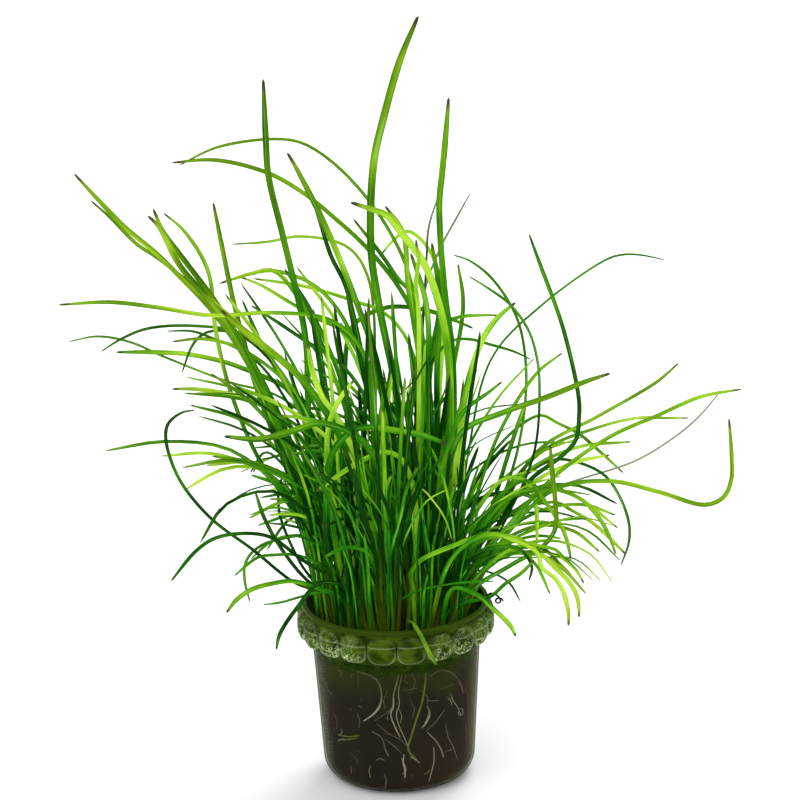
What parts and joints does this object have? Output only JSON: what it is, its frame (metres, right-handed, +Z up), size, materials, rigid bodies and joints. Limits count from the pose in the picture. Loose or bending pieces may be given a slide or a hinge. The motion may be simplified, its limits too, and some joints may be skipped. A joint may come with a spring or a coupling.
{
  "type": "potted needle leaf dwarf sagittaria",
  "caption": "Clump of long, narrow needle leaves growing from brown gel in a clear tapered cup with a lobed collar and an open top.",
  "frame": {"origin": "centre of the cup's flat underside", "axes": "+Z up along the cup's axis, -Y towards the side that the picture shows, +X to that view's right"},
  "size_m": [0.2502, 0.1607, 0.293],
  "materials": {
    "cup_plastic": "clear, smooth, faintly green",
    "growing_gel": "moist, dark brown, cloudy",
    "root": "moist, pale tan to yellow-green",
    "leaf_dark": "satin dark green",
    "leaf_mid": "satin mid green",
    "leaf_olive": "satin olive green",
    "leaf_light": "satin light green",
    "leaf_bright": "satin yellow-green",
    "leaf_thread": "dull dry grey"
  },
  "bodies": {
    "root": {"cup": "cup_plastic", "gel": "growing_gel", "root_left_arch": "root", "root_middle": "root", "root_long_stem": "root", "root_right_arch": "root", "leaf_front_drop": "leaf_light", "leaf_hanging_left": "leaf_dark", "leaf_over_right_rim": "leaf_mid", "leaf_low_left_short": "leaf_mid", "leaf_low_right_light": "leaf_light", "leaf_kinked_yellow": "leaf_light", "leaf_cross_left": "leaf_mid", "leaf_cross_right": "leaf_mid", "leaf_low_left_arch": "leaf_dark", "leaf_right_upright_olive": "leaf_olive", "leaf_low_left_hook": "leaf_dark", "leaf_right_broad": "leaf_mid", "leaf_pale_wide_left": "leaf_light", "leaf_right_curl": "leaf_olive", "leaf_right_bright": "leaf_light", "leaf_left_level": "leaf_light", "leaf_bright_lean": "leaf_light", "leaf_bright_blunt": "leaf_bright", "leaf_right_yellow_wide": "leaf_bright", "leaf_left_bundle": "leaf_mid", "leaf_bright_wide": "leaf_bright", "leaf_tall_left": "leaf_mid", "leaf_tall_middle": "leaf_mid", "leaf_tall_right": "leaf_mid", "leaf_left_far": "leaf_light", "leaf_right_bend": "leaf_dark", "leaf_left_upright": "leaf_olive", "leaf_right_arch_near": "leaf_dark", "leaf_left_olive": "leaf_olive", "leaf_right_arch_far": "leaf_mid", "leaf_dark_arch": "leaf_olive", "leaf_right_fine": "leaf_dark", "leaf_upper_arch": "leaf_mid", "leaf_left_straight": "leaf_light", "leaf_right_olive": "leaf_olive", "leaf_left_fine": "leaf_mid", "leaf_over_arch": "leaf_mid", "leaf_right_droop": "leaf_dark", "leaf_right_thread": "leaf_thread", "leaf_left_thin": "leaf_olive", "leaf_right_level": "leaf_light", "leaf_small_arch": "leaf_bright", "leaf_right_low": "leaf_olive", "leaf_right_short": "leaf_mid", "plantlet_front": "leaf_mid", "plantlet_front_right": "leaf_dark", "plantlet_left_front": "leaf_mid", "plantlet_middle": "leaf_mid", "plantlet_middle_left": "leaf_dark", "plantlet_right_back": "leaf_mid", "plantlet_left_back": "leaf_olive", "plantlet_back": "leaf_mid"}
  },
  "joints": []
}
